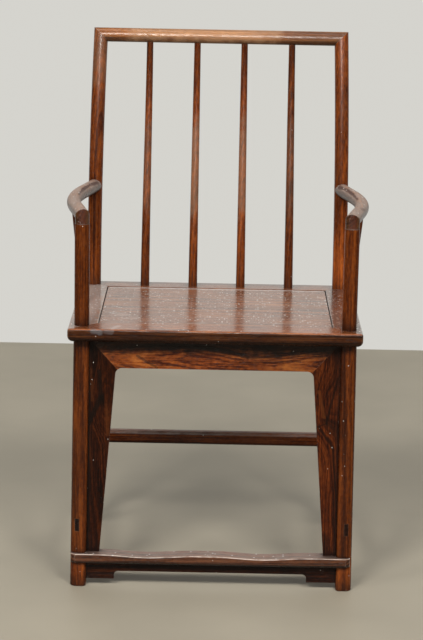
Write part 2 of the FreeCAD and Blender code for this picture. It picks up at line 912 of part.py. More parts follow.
def foot_apron_body(front_leg):
    top = footrest_top - footrest_thickness
    reach = leg_centre(front_post_x, front_post_y, top).x
    half_opening = reach - half_leg - foot_apron_toe_width
    left = -half_opening - footrest_shift
    right = half_opening - footrest_shift
    y = front_post_y - foot_apron_nose
    corners = [
        V(-reach, y, top),
        V(-reach, y, foot_apron_end),
        V(left, y, foot_apron_end),
        V(left, y, foot_apron_middle),
        V(right, y, foot_apron_middle),
        V(right, y, foot_apron_end),
        V(reach, y, foot_apron_end),
        V(reach, y, top),
    ]
    toe = foot_apron_toe_round
    rounds = [0, 0, toe, foot_apron_round, foot_apron_round, toe, 0, 0]
    board = rounded_prism(corners, rounds, ALONG_Y * foot_apron_thickness)
    board = single(board.cut([front_leg, left_copy(front_leg)]))
    middle = y + foot_apron_thickness / 2
    half = board_tongue_thickness / 2
    crown = box(left, right, middle - half, middle + half,
                top - board_tongue_length, top + board_tongue_length)
    end_from = reach - half_leg - board_tongue_length
    end_to = reach - half_leg + board_tongue_length
    end_tongue = box(end_from, end_to, middle - half, middle + half,
                     foot_apron_end + board_tongue_length, top - board_tongue_length)
    return fused(board, crown, end_tongue, left_copy(end_tongue))


# Stretchers

def stretcher_bar(start, along, across, width):
    half_width = across * (width / 2)
    half_height = UP * (stretcher_height / 2)
    corners = [
        start + half_width + half_height,
        start - half_width + half_height,
        start - half_width - half_height,
        start + half_width - half_height,
    ]
    rounds = [stretcher_round] * len(corners)
    return rounded_prism(corners, rounds, along)


def side_stretcher_body(front_leg, back_leg):
    z = side_stretcher_centre
    front = leg_centre(front_post_x, front_post_y, z)
    back = leg_centre(back_post_x, back_post_y, z)
    bar = stretcher_bar(front, ALONG_Y * (back.y - front.y), ALONG_X, stretcher_width)
    bar = single(bar.cut([front_leg, back_leg]))
    x_from = front.x + through_tenon_offset - through_tenon_width / 2
    x_to = front.x + through_tenon_offset + through_tenon_width / 2
    half_height = through_tenon_height / 2
    through = box(x_from, x_to, front.y - leg_width, front.y + half_leg, z - half_height, z + half_height)
    through = through.common(front_leg)
    back_end = back.y - half_leg + blind_tenon_depth
    blind = box(x_from, x_to, back.y - leg_width, back_end, z - half_height, z + half_height)
    return fused(bar, through, blind)


def back_stretcher_body(back_leg):
    z = back_stretcher_centre
    leg = leg_centre(back_post_x, back_post_y, z)
    start = V(-leg.x, leg.y, z)
    bar = stretcher_bar(start, ALONG_X * leg.x * 2, ALONG_Y, back_stretcher_width)
    bar = single(bar.cut([back_leg, left_copy(back_leg)]))
    reach = leg.x - half_leg + blind_tenon_depth
    half_width = back_tenon_width / 2
    half_height = back_tenon_height / 2
    tenon = box(-reach, reach, leg.y - half_width, leg.y + half_width, z - half_height, z + half_height)
    return fused(bar, tenon)


# Putting the pieces together

def build():
    front_leg = front_leg_body()
    back_leg, crest_point, end_tangent = back_leg_body()
    crest = crest_rail_body(crest_point, end_tangent)
    arm = arm_rail_body(back_leg)
    strut = strut_body(arm)
    blank = seat_blank()
    front_rail = long_rail(-1, blank)
    back_rail = long_rail(1, blank)
    right_rail = side_rail(blank)
    panel = seat_panel_body()
    batten = batten_body()
    apron = front_apron_body()
    strip = front_strip_body()
    side_apron = side_apron_body(front_leg, back_leg)
    back_apron = back_apron_body(back_leg)
    footrest = footrest_body(front_leg)
    foot_apron = foot_apron_body(front_leg)
    side_stretcher = side_stretcher_body(front_leg, back_leg)
    back_stretcher = back_stretcher_body(back_leg)
    spindles = {}
    for rank, foot_share in zip(("inner", "outer"), spindle_foot_shares):
        spindle = spindle_body(back_post_x * foot_share, crest)
        spindles["spindle_" + rank + "_right"] = spindle
        spindles["spindle_" + rank + "_left"] = left_copy(spindle)

    battens = [left_copy(batten), batten]
    front_legs = [left_copy(front_leg), front_leg]
    back_legs = [left_copy(back_leg), back_leg]
    aprons = [apron, back_apron, side_apron, left_copy(side_apron)]
    strips = [left_copy(strip), strip]
    all_spindles = list(spindles.values())

    crest = crest.cut(back_legs + all_spindles)
    panel = panel.cut(battens)
    front_rail = front_rail.cut(front_legs + battens + aprons)
    back_rail = back_rail.cut(back_legs + battens + aprons + all_spindles)
    right_rail = right_rail.cut([front_leg, back_leg, strut] + aprons)
    arm = arm.cut([front_leg, strut])
    footrest = footrest.cut(strips + [foot_apron])
    front_leg = front_leg.cut([side_stretcher, side_apron, strip, footrest, foot_apron])
    back_leg = back_leg.cut([side_stretcher, side_apron, arm, back_stretcher, back_apron])

    nodes = {
        "crest_rail": crest,
        "back_leg_right": back_leg,
        "back_leg_left": left_copy(back_leg),
        "front_leg_right": front_leg,
        "front_leg_left": left_copy(front_leg),
        "arm_rail_right": arm,
        "arm_rail_left": left_copy(arm),
        "arm_strut_right": strut,
        "arm_strut_left": left_copy(strut),
        "seat_rail_front": front_rail,
        "seat_rail_back": back_rail,
        "seat_rail_right": right_rail,
        "seat_rail_left": left_copy(right_rail),
        "seat_panel": panel,
        "seat_batten_right": batten,
        "seat_batten_left": left_copy(batten),
        "front_apron": apron,
        "front_strip_right": strip,
        "front_strip_left": left_copy(strip),
        "side_apron_right": side_apron,
        "side_apron_left": left_copy(side_apron),
        "back_apron": back_apron,
        "footrest": footrest,
        "footrest_apron": foot_apron,
        "side_stretcher_right": side_stretcher,
        "side_stretcher_left": left_copy(side_stretcher),
        "back_stretcher": back_stretcher,
    }
    nodes.update(spindles)
    return nodes


def frame_shift():
    """Move that puts the origin on the floor under the middle of the chair's bounding box."""
    foremost = -half_depth
    hindmost = crest_y + crest_radius
    return -ALONG_Y * (foremost + hindmost) / 2


os.makedirs("parts", exist_ok=True)
shift = frame_shift()
for name, shape in build().items():
    solid = single(shape)
    solid.translate(shift)
    solid.exportStep("parts/" + name + ".step")
    print(name, len(shape.Solids), round(solid.Volume), solid.isValid())
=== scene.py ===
import json
import math
from typing import NamedTuple

import bpy
from mathutils import Matrix, Vector


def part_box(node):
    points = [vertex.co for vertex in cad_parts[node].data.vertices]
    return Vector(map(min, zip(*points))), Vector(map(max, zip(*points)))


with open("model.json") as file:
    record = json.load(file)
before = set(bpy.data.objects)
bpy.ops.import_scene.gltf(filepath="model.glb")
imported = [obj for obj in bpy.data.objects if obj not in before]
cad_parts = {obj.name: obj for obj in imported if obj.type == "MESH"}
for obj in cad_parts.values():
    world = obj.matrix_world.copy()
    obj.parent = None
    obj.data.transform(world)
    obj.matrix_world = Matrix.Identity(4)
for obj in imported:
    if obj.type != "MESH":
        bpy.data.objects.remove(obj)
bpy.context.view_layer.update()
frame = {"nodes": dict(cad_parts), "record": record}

# Picture and camera, in pixels, metres and radians, with the sensor in millimetres
picture_height = 640
axis_row = 344.838
focal_pixels = 2201.99
sensor_side = 36.0
camera_place = Vector((0.0050, -4.3268, 1.4663))
camera_turn = -0.00289
camera_dip = 0.23351
camera_roll = 0.01903

# Floor, and the bright wall that shows only as light and as a reflection
wall_place = 1.82
wall_half_width = 2.6
wall_height = 2.9
floor_side = 9.0
wall_colour = (0.665, 0.655, 0.615)
wall_glow = 1.0
room_colour = (0.93, 0.96, 1.0)
room_glow = 0.05
floor_colour = (0.40, 0.36, 0.28)
floor_gloss = 0.55
floor_stain_size = 0.45
floor_stain_range = (0.35, 0.65)
floor_stain_shares = (0.94, 1.05)


class Lamp(NamedTuple):
    """A square lamp, in metres and watts. A gleam lamp shows only as a highlight on polished wood."""
    name: str
    place: tuple
    target: tuple
    side: float
    power: float
    colour: tuple
    gleam: bool = False


LAMPS = (
    Lamp("gleam", (-0.06, -4.2, 2.8), (0.0, 0.0, 0.8), 0.6, 120.0, (1.0, 0.95, 0.88), gleam=True),
    Lamp("front_left", (-1.2, -3.0, 3.1), (0.0, 0.0, 0.5), 1.0, 92.0, (1.0, 0.97, 0.93)),
    Lamp("front_right", (1.2, -3.0, 3.1), (0.0, 0.0, 0.5), 1.0, 74.0, (1.0, 0.97, 0.93)),
    Lamp("left", (-2.8, -2.4, 3.0), (0.0, 0.0, 0.5), 1.0, 28.0, (1.0, 0.98, 0.95)),
    Lamp("right", (2.8, -2.4, 3.0), (0.0, 0.0, 0.5), 1.0, 20.0, (1.0, 0.98, 0.95)),
    Lamp("top", (0.0, 0.2, 3.2), (0.0, 0.0, 0.5), 1.2, 12.0, (1.0, 1.0, 1.0)),
)

# Noise: how many finer layers a pattern has, how strong they are, and the value that it swings round
noise_detail = 2.0
rich_detail = 3.0
pore_detail = 1.0
dust_detail = 5.0
noise_crispness = 0.5
ring_crispness = 0.6
vein_crispness = 0.55
dust_crispness = 0.7
noise_middle = 0.5

# Grain, in features for each metre: along the board, then across it
ring_rate = 210.0
vein_rate = 55.0
sway_rates = (2.6, 9.0, 9.0)
curl_rates = (11.0, 34.0, 34.0)
curl_share = 0.22
vein_fade_rates = (4.0, 18.0, 18.0)
fibre_rates = (16.0, 430.0, 430.0)
pore_rates = (80.0, 1500.0, 1500.0)
mottle_rates = (7.0, 16.0, 16.0)
fleck_rates = (110.0, 260.0, 260.0)
vein_range = (0.50, 0.66)
vein_fade_range = (0.38, 0.60)
pore_range = (0.56, 0.70)

# Steps in the tree from one board to the next, so that no two have the same grain
seed_step = Vector((5.17, 3.31, 7.93))
ring_seed_step = 13.7

# Colour of the wood: how much each part of the grain moves the tone, and where the three colours lie
tone_shares = {"Ring": 1.15, "Mottle": 0.7, "Fibre": 0.95, "Fleck": 0.55}
middle_tone = 0.50
tone_places = (0.24, middle_tone, 0.78)
pore_share = 0.55

# Relief of the polished face: depths in metres, and waves for each metre
grain_relief = 0.00018
wave_relief = 0.0006
wave_rates = (6.0, 55.0, 55.0)

# Worn arrises, whose pale wear also paints highlights, and a painted highlight along the edge that looks
# forwards and up
arris_radius = 0.0028
arris_samples = 4
arris_range = (0.015, 0.16)
wear_rate = 60.0
wear_range = (0.30, 0.60)
lip_highlight_direction = Vector((0.0, -0.64, 0.77))
lip_highlight_range = (0.90, 0.98)
lip_highlight_break_range = (0.25, 0.65)

# Dust and painted sheen on what looks up, painted shade on undersides, and where end grain begins
upward_range = (0.25, 0.85)
dust_facing_range = (0.0, 0.55)
dust_rates = (45.0, 150.0, 150.0)
dust_range = (0.34, 0.60)
dust_thin_share = 0.40
dust_colour = (0.38, 0.305, 0.265)
underside_shade_range = (0.15, -0.50)
underside_shade_share = 0.32
end_range = (0.75, 0.92)

# Painted shade deepening the corners and under things
corner_reach = 0.045
corner_samples = 5
corner_range = (0.97, 0.55)
corner_shade_colour = (0.010, 0.005, 0.004)

# Small white chips and crumbs
speck_rate = 210.0
speck_range = (0.22, 0.08)
speck_pull = 3.0
speck_growth_share = 0.42
speck_colour = (0.80, 0.77, 0.73)

# Roughness that the pores, the mottling and the dust add, and the wax coat's own
pore_roughness = 0.25
mottle_roughness = 0.30
dust_roughness = 0.35
coat_roughness = 0.16


class Finish(NamedTuple):
    """A kind of rosewood: its colours, and the polish on it."""
    dark: tuple
    middle: tuple
    light: tuple
    vein: tuple
    # pale wear, which on some finishes also paints highlights on the arrises
    worn_and_highlight: tuple
    rough: float
    shine: float
    coat: float = 0.0


FINISHES = {
    "rail_wood": Finish(
        dark=(0.165, 0.050, 0.012), middle=(0.31, 0.102, 0.022), light=(0.48, 0.190, 0.050),
        vein=(0.060, 0.018, 0.008), worn_and_highlight=(0.50, 0.42, 0.38), rough=0.29, shine=0.50),
    "post_wood": Finish(
        dark=(0.048, 0.009, 0.0015), middle=(0.120, 0.0255, 0.0034), light=(0.21, 0.052, 0.008),
        vein=(0.014, 0.004, 0.002), worn_and_highlight=(0.35, 0.19, 0.12), rough=0.25, shine=0.17),
    "seat_wood": Finish(
        dark=(0.110, 0.027, 0.007), middle=(0.26, 0.071, 0.018), light=(0.42, 0.135, 0.038),
        vein=(0.050, 0.013, 0.005), worn_and_highlight=(0.46, 0.30, 0.20), rough=0.24, shine=0.16, coat=0.90),
    # The seat panel's worn colour also paints the highlight lines on its arrises.
    "panel_wood": Finish(
        dark=(0.130, 0.040, 0.013), middle=(0.29, 0.092, 0.030), light=(0.44, 0.160, 0.056),
        vein=(0.070, 0.022, 0.010), worn_and_highlight=(0.80, 0.68, 0.62), rough=0.24, shine=0.42, coat=0.64),
    "apron_wood": Finish(
        dark=(0.055, 0.010, 0.003), middle=(0.25, 0.057, 0.010), light=(0.45, 0.138, 0.027),
        vein=(0.012, 0.003, 0.002), worn_and_highlight=(0.42, 0.20, 0.10), rough=0.27, shine=0.20),
    "board_wood": Finish(
        dark=(0.010, 0.002, 0.0007), middle=(0.042, 0.0075, 0.0014), light=(0.11, 0.024, 0.004),
        vein=(0.005, 0.002, 0.001), worn_and_highlight=(0.25, 0.13, 0.08), rough=0.27, shine=0.12),
    # The footrest's worn colour also paints the highlight along its front edge.
    "footrest_wood": Finish(
        dark=(0.080, 0.024, 0.009), middle=(0.20, 0.057, 0.019), light=(0.33, 0.115, 0.045),
        vein=(0.030, 0.009, 0.005), worn_and_highlight=(0.90, 0.76, 0.66), rough=0.28, shine=0.35, coat=0.50),
}


class Board(NamedTuple):
    """How a board is cut from the tree, polished and worn, with the painted shade, sheen and highlights
    that it takes. Lengths are in metres.
    """
    axis: str  # the way its grain runs
    pith: tuple  # from the board's middle to the tree's, across the grain
    run_out: float = 0.012  # how fast the rings leave the board's length
    figure: float = 0.006  # how far the figure sways
    contrast: float = 1.0  # of the rings, mottling and fibres
    veining: float = 0.65  # depth of the dark veins
    polish: float = 1.0  # shine, as a share of the finish's
    upright_shade_share: float = 1.0  # painted shade: lightness of upright faces, as a share of the top's
    end_tint: tuple = (0.40, 0.36, 0.36)  # colour of end grain, as shares of the side grain's
    arris_wear_and_highlight: float = 0.20  # pale wear on the sharp arrises, which also paints highlights on them
    lip_highlight: float = 0.0  # painted highlight along a rounded front edge that looks forwards and up
    # dust on what looks up, with a painted sheen there too
    dust: float = 0.0
    # painted shade deepening the corners and under things
    corner_shade: float = 0.80
    chips: float = 0.010


# World axes with the board's grain first
AXIS_ORDER = {"x": (0, 1, 2), "y": (1, 2, 0), "z": (2, 0, 1)}

# Boards. Twins left and right share one, unless they have their own.
spindle = Board("z", (0.035, -0.060), contrast=0.80, veining=0.4, polish=1.9, corner_shade=0.4, chips=0.005)
side_rail = Board("y", (-0.045, 0.040), run_out=0.015, figure=0.008, upright_shade_share=0.25, arris_wear_and_highlight=0.25, corner_shade=0.35)
BOARDS = {
    "crest_rail": Board("x", (-0.045, 0.030), run_out=0.015, figure=0.008, contrast=0.60, veining=0.30,
                        polish=1.1, arris_wear_and_highlight=0.35, corner_shade=0.5, chips=0.0),
    "arm_rail": Board("y", (0.030, -0.040), run_out=0.020, contrast=0.80, veining=0.40, upright_shade_share=0.30,
                      end_tint=(0.85, 0.50, 0.46), dust=0.84, arris_wear_and_highlight=0.90, chips=0.05),
    "arm_strut": spindle._replace(polish=1.0),
    "back_leg": Board("z", (0.040, -0.045), contrast=0.85, veining=0.50, polish=1.4, corner_shade=0.6),
    "front_leg": Board("z", (0.030, 0.055), run_out=0.014, figure=0.007, contrast=0.95, veining=0.50,
                       chips=0.02),
    "spindle_inner": spindle,
    "spindle_outer": spindle,
    "seat_rail_front": Board("x", (-0.020, -0.030), run_out=0.030, figure=0.014, contrast=1.2,
                             upright_shade_share=0.25, arris_wear_and_highlight=0.55, chips=0.02),
    "seat_rail_back": Board("x", (0.050, -0.040), figure=0.008, upright_shade_share=0.25),
    "seat_rail_left": side_rail._replace(dust=1.0, chips=0.10),
    "seat_rail_right": side_rail._replace(dust=0.15, chips=0.14),
    "seat_panel": Board("x", (0.010, -0.090), figure=0.012, veining=0.50, arris_wear_and_highlight=1.0, dust=0.14, corner_shade=0.40,
                        chips=0.13),
    "seat_batten": Board("y", (-0.045, 0.040)),
    "front_apron": Board("x", (0.018, -0.012), run_out=0.060, figure=0.030, veining=0.95, corner_shade=0.95),
    "front_strip": Board("z", (-0.015, 0.010), run_out=0.070, figure=0.032, veining=0.90, contrast=0.8,
                         corner_shade=0.95, chips=0.02),
    "side_apron": Board("y", (-0.030, 0.020), run_out=0.030, figure=0.018, veining=0.90),
    "back_apron": Board("x", (0.030, 0.020), run_out=0.030, figure=0.018, veining=0.90),
    "footrest": Board("x", (-0.040, 0.030), run_out=0.020, figure=0.010, veining=0.60, upright_shade_share=0.50,
                      end_tint=(0.50, 0.60, 0.75), arris_wear_and_highlight=0.50, lip_highlight=0.85, dust=0.60, chips=0.05),
    "footrest_apron": Board("x", (-0.040, 0.030), run_out=0.020, figure=0.012, veining=0.90),
    "side_stretcher": Board("y", (-0.040, 0.030), end_tint=(0.10, 0.08, 0.08)),
    # Its top is lightened with dust and painted light, where the seat shades it.
    "back_stretcher": Board("x", (-0.040, 0.030), upright_shade_share=0.60, dust=0.50),
}

# Lightness beside the others of the same finish, at shares of the board's length from its low end. Some
# stretches are painted light, shade, sheen and highlight, as noted at each.
EVEN = ((0.0, 1.0), (1.0, 1.0))
TONE_AND_PAINTED_LIGHT = {
    # The back legs' lighter tops are painted sheen, and the right one's lighter stretch just above the seat
    # is painted light.
    "back_leg_left": ((0.0, 1.2), (0.5, 1.45), (0.85, 1.25), (1.0, 2.0)),
    "back_leg_right": ((0.0, 1.7), (0.5, 2.7), (0.6, 2.5), (0.75, 1.5), (0.9, 1.3), (1.0, 1.8)),
    "front_leg_left": ((0.0, 2.1), (0.07, 2.0), (0.10, 1.10), (0.6, 1.12), (1.0, 0.90)),
    "front_leg_right": (
        (0.0, 1.9), (0.07, 1.85), (0.10, 1.05), (0.6, 0.92), (0.75, 1.20), (1.0, 1.15)),
    # The spindles' lighter middles are painted sheen.
    "spindle_outer_left": (
        (0.0, 1.05), (0.28, 1.15), (0.42, 1.85), (0.66, 1.70), (0.82, 0.95), (1.0, 0.80)),
    "spindle_inner_left": (
        (0.0, 1.30), (0.28, 1.45), (0.42, 2.20), (0.66, 2.10), (0.82, 1.35), (1.0, 1.30)),
    "spindle_inner_right": (
        (0.0, 1.40), (0.28, 1.60), (0.42, 2.20), (0.66, 2.10), (0.82, 1.20), (1.0, 1.10)),
    "spindle_outer_right": ((0.0, 1.00), (0.5, 1.10), (0.82, 0.90), (1.0, 0.80)),
    # The strips grow darker at their tops: painted shade under the seat.
    "front_strip_left": ((0.0, 0.92), (0.75, 0.68), (0.92, 0.45), (1.0, 0.25)),
    "front_strip_right": ((0.0, 2.2), (0.45, 1.7), (0.65, 1.65), (0.90, 1.30), (1.0, 0.60)),
    # The crest's lighter middle is a painted highlight, and its darker right end is where that highlight
    # fades.
    "crest_rail": ((0.0, 0.88), (0.15, 1.05), (0.62, 1.15), (0.84, 0.70), (1.0, 0.62)),
    "seat_rail_left": ((0.0, 1.5), (1.0, 1.5)),
    # The right seat rail is darker: a painted dark reflection on its top.
    "seat_rail_right": ((0.0, 0.50), (1.0, 0.60)),
    "front_apron": ((0.0, 1.0), (0.3, 1.0), (0.5, 1.2), (0.72, 0.75), (1.0, 0.75)),
    # The back stretcher is lighter: painted light on the top that the seat shades.
    "back_stretcher": ((0.0, 1.9), (1.0, 1.9)),
    # The footrest apron is darker in the middle: painted shadow under the footrest.
    "footrest_apron": (
        (0.0, 0.75), (0.15, 0.75), (0.22, 0.45), (0.78, 0.45), (0.85, 0.75), (1.0, 0.75)),
}


class Knot(NamedTuple):
    """A knot: its place as shares of its node's box, its reach, and how far it pushes the rings."""
    place: tuple
    reach: float
    swell: float


# Knots, longer than they are wide. A board with none has one too far off to be felt.
knot_slim_shares = (0.35, 1.0, 1.0)
knot_eye_range = (0.88, 1.00)
NO_KNOT = Knot((99.0, 99.0, 99.0), 0.001, 0.0)
KNOTS = {
    "front_apron": Knot((0.70, 0.0, 0.84), 0.060, 0.026),
    "front_strip_left": Knot((0.49, 0.0, 0.73), 0.034, 0.028),
    "front_strip_right": Knot((0.42, 0.0, 0.70), 0.040, 0.030),
}


class Mark(NamedTuple):
    """A mark along a line between two shares of its node's box, with its radius in metres."""
    start: tuple
    end: tuple
    radius: float
    colour: tuple
    share: float  # of the wood under it that it covers


# Marks: how ragged their edges are, how much of the radius is full, and their colours, some of which paint
# shadow, sheen and highlight
mark_ragged_share = 1.3
mark_core_share = 0.35
dark_streak_and_shadow = (0.006, 0.003, 0.002)
hand_worn = (0.070, 0.022, 0.013)
bright_wood = (0.20, 0.055, 0.012)
pale_film = (0.52, 0.44, 0.40)
panel_edge_highlight_white = (0.85, 0.74, 0.68)
cold_film = (0.13, 0.125, 0.13)
post_top_sheen_brown = (0.18, 0.10, 0.055)
crest_highlight_gold = (0.55, 0.34, 0.19)
spindle_sheen_tan = (0.28, 0.18, 0.115)
MARKS = {
    # A painted highlight along the crest's upper front.
    "crest_rail": (Mark((0.17, 0.4, 0.70), (0.70, 0.4, 0.70), 0.030, crest_highlight_gold, 0.35),),
    # Painted sheen on the left back post's top.
    "back_leg_left": (Mark((0.5, 0.9, 0.93), (0.5, 0.9, 1.00), 0.080, post_top_sheen_brown, 0.45),),
    # Painted sheen on the spindles' middles.
    "spindle_outer_left": (Mark((0.61, 0.36, 0.41), (0.63, 0.60, 0.58), 0.075, spindle_sheen_tan, 0.20),),
    "spindle_inner_left": (Mark((0.55, 0.36, 0.41), (0.57, 0.60, 0.58), 0.075, spindle_sheen_tan, 0.45),),
    "spindle_inner_right": (Mark((0.44, 0.36, 0.41), (0.43, 0.60, 0.58), 0.075, spindle_sheen_tan, 0.40),),
    "spindle_outer_right": (Mark((0.39, 0.36, 0.41), (0.37, 0.60, 0.58), 0.075, spindle_sheen_tan, 0.12),),
    "arm_rail_left": (
        Mark((0.89, 0.95, 0.66), (0.68, 0.84, 0.75), 0.0055, hand_worn, 0.88),
        Mark((0.68, 0.84, 0.75), (0.49, 0.69, 0.78), 0.0050, hand_worn, 0.88),
        Mark((0.49, 0.69, 0.78), (0.39, 0.50, 0.82), 0.0040, hand_worn, 0.80)),
    "arm_rail_right": (
        Mark((0.11, 0.95, 0.66), (0.32, 0.84, 0.75), 0.0055, hand_worn, 0.88),
        Mark((0.32, 0.84, 0.75), (0.51, 0.69, 0.78), 0.0050, hand_worn, 0.88),
        Mark((0.51, 0.69, 0.78), (0.61, 0.50, 0.82), 0.0040, hand_worn, 0.80),
        Mark((0.63, 0.19, 0.85), (0.70, 0.24, 0.80), 0.0060, hand_worn, 0.50)),
    "seat_rail_left": (
        Mark((0.55, 0.12, 1.00), (0.55, 0.90, 1.00), 0.0240, pale_film, 0.40),),
    "seat_rail_front": (
        Mark((0.088, 0.0, 0.90), (0.108, 0.0, 0.78), 0.0085, cold_film, 0.65),
        Mark((0.130, 0.0, 0.88), (0.150, 0.0, 0.80), 0.0065, cold_film, 0.40),
        Mark((0.150, 0.2, 1.00), (0.170, 0.6, 1.00), 0.0080, pale_film, 0.45)),
    "seat_panel": (
        # A painted highlight along the panel's back edge.
        Mark((0.03, 0.970, 1.0), (0.97, 0.970, 1.0), 0.0055, panel_edge_highlight_white, 0.90),
        Mark((0.11, 0.15, 1.0), (0.18, 0.17, 1.0), 0.0045, pale_film, 0.50),
        Mark((0.06, 0.30, 1.0), (0.11, 0.24, 1.0), 0.0140, pale_film, 0.25),
        Mark((0.39, 0.06, 1.0), (0.45, 0.08, 1.0), 0.0040, pale_film, 0.40),
        Mark((0.74, 0.09, 1.0), (0.80, 0.11, 1.0), 0.0035, pale_film, 0.40)),
    "front_apron": (
        Mark((0.19, 0.0, 0.44), (0.27, 0.0, 0.08), 0.0035, dark_streak_and_shadow, 0.60),
        Mark((0.56, 0.0, 0.62), (0.63, 0.0, 0.45), 0.0060, dark_streak_and_shadow, 0.70),
        Mark((0.63, 0.0, 0.45), (0.76, 0.0, 0.50), 0.0055, dark_streak_and_shadow, 0.65),
        Mark((0.60, 0.0, 0.30), (0.84, 0.0, 0.36), 0.0030, dark_streak_and_shadow, 0.45),
        # A painted shadow of the seat along the apron's top.
        Mark((0.0, 0.0, 0.83), (1.0, 0.0, 0.83), 0.0240, dark_streak_and_shadow, 0.85)),
    "front_strip_left": (
        Mark((0.44, 0.0, 0.85), (0.49, 0.0, 0.73), 0.0060, dark_streak_and_shadow, 0.80),
        Mark((0.49, 0.0, 0.73), (0.10, 0.0, 0.61), 0.0070, dark_streak_and_shadow, 0.85),
        Mark((0.08, 0.0, 0.60), (0.08, 0.0, 0.02), 0.0050, dark_streak_and_shadow, 0.80),
        Mark((0.66, 0.0, 0.70), (0.72, 0.0, 0.56), 0.0045, bright_wood, 0.22),
        Mark((0.16, 0.0, 0.86), (0.22, 0.0, 0.72), 0.0050, bright_wood, 0.20)),
    "front_strip_right": (
        Mark((0.82, 0.0, 0.84), (0.50, 0.0, 0.63), 0.0030, dark_streak_and_shadow, 0.75),
        Mark((0.50, 0.0, 0.63), (0.16, 0.0, 0.61), 0.0025, dark_streak_and_shadow, 0.65),
        Mark((0.26, 0.0, 0.78), (0.42, 0.0, 0.66), 0.0050, bright_wood, 0.30),
        Mark((0.24, 0.0, 0.47), (0.36, 0.0, 0.40), 0.0070, bright_wood, 0.25),
        Mark((0.55, 0.0, 0.10), (0.60, 0.0, 0.02), 0.0110, dark_streak_and_shadow, 0.50)),
}


class Tree:
    """A node tree, with a short call for each kind of node that the materials use."""

    def __init__(self, tree):
        self.tree = tree

    def add(self, kind, inputs=(), **settings):
        node = self.tree.nodes.new(kind)
        for name, value in settings.items():
            setattr(node, name, value)
        for key, value in dict(inputs).items():
            self.feed(node.inputs[key], value)
        return node

    def feed(self, socket, value):
        if isinstance(value, bpy.types.NodeSocket):
            self.tree.links.new(value, socket)
        elif socket.type == "RGBA":
            socket.default_value = (*value, 1.0)
        else:
            socket.default_value = value

    def sums(self, operation, *values, clamp=False):
        node = self.add("ShaderNodeMath", dict(enumerate(values)), operation=operation, use_clamp=clamp)
        return node.outputs["Value"]

    def vector(self, operation, *values, output="Vector"):
        node = self.add("ShaderNodeVectorMath", dict(enumerate(values)), operation=operation)
        return node.outputs[output]

    def scaled(self, vector, factor):
        node = self.add("ShaderNodeVectorMath", {0: vector, "Scale": factor}, operation="SCALE")
        return node.outputs["Vector"]

    def parts(self, vector):
        return self.add("ShaderNodeSeparateXYZ", {0: vector}).outputs

    def joined(self, parts):
        return self.add("ShaderNodeCombineXYZ", parts).outputs["Vector"]

    def noise(self, place, rates, detail=noise_detail, crispness=noise_crispness, output="Fac"):
        settings = {"Vector": self.vector("MULTIPLY", place, rates), "Scale": 1.0, "Detail": detail,
                    "Roughness": crispness}
        return self.add("ShaderNodeTexNoise", settings).outputs[output]

    def noise_line(self, distance, detail, crispness):
        settings = {"W": distance, "Scale": 1.0, "Detail": detail, "Roughness": crispness}
        return self.add("ShaderNodeTexNoise", settings, noise_dimensions="1D").outputs["Fac"]

    def band(self, value, low, high, first=0.0, last=1.0):
        settings = {"Value": value, "From Min": low, "From Max": high, "To Min": first, "To Max": last}
        node = self.add("ShaderNodeMapRange", settings, interpolation_type="SMOOTHSTEP")
        return node.outputs["Result"]

    def mix(self, share, first, second):
        node = self.add("ShaderNodeMix", {0: share}, data_type="RGBA")
        colour_sockets = [socket for socket in node.inputs if socket.type == "RGBA"]
        for socket, colour in zip(colour_sockets, (first, second)):
            self.feed(socket, colour)
        return next(socket for socket in node.outputs if socket.type == "RGBA")

    def ramp(self, value, stops):
        node = self.add("ShaderNodeValToRGB", {"Fac": value})
        points = node.color_ramp.elements
        while len(points) < len(stops):
            points.new(1.0)
        for point, (place, colour) in zip(points, stops):
            point.position = place
            point.color = (*colour, 1.0)
        return node.outputs["Color"]


def alike(value):
    """The same value three times: a grey, or a pattern that is as fine one way as another."""
    return (value, value, value)


def new_object(name, data):
    piece = bpy.data.objects.new(name, data)
    bpy.context.collection.objects.link(piece)
    return piece


def make_camera():
    """The photograph's camera: its place, turn, dip and roll, and its off-centre axis."""
    ahead = Vector((math.sin(camera_turn) * math.cos(camera_dip),
                    math.cos(camera_turn) * math.cos(camera_dip), -math.sin(camera_dip)))
    right = Vector((math.cos(camera_turn), -math.sin(camera_turn), 0.0))
    down = ahead.cross(right)
    right, down = (math.cos(camera_roll) * right - math.sin(camera_roll) * down,
                   math.sin(camera_roll) * right + math.cos(camera_roll) * down)
    camera = new_object("camera", bpy.data.cameras.new("camera"))
    turn = Matrix((right, -down, -ahead)).transposed().to_4x4()
    camera.matrix_world = Matrix.Translation(camera_place) @ turn
    camera.data.sensor_fit = "AUTO"
    camera.data.sensor_width = sensor_side
    camera.data.lens = focal_pixels / picture_height * sensor_side
    camera.data.shift_y = (axis_row - picture_height / 2) / picture_height
    bpy.context.scene.camera = camera


def make_lamp(lamp):
    data = bpy.data.lights.new(lamp.name, "AREA")
    data.shape = "SQUARE"
    data.size = lamp.side
    data.energy = lamp.power
    data.color = lamp.colour
    piece = new_object(lamp.name, data)
    piece.location = lamp.place
    piece.rotation_euler = (Vector(lamp.target) - Vector(lamp.place)).to_track_quat("-Z", "Y").to_euler()
    piece.visible_camera = False
    piece.visible_diffuse = not lamp.gleam


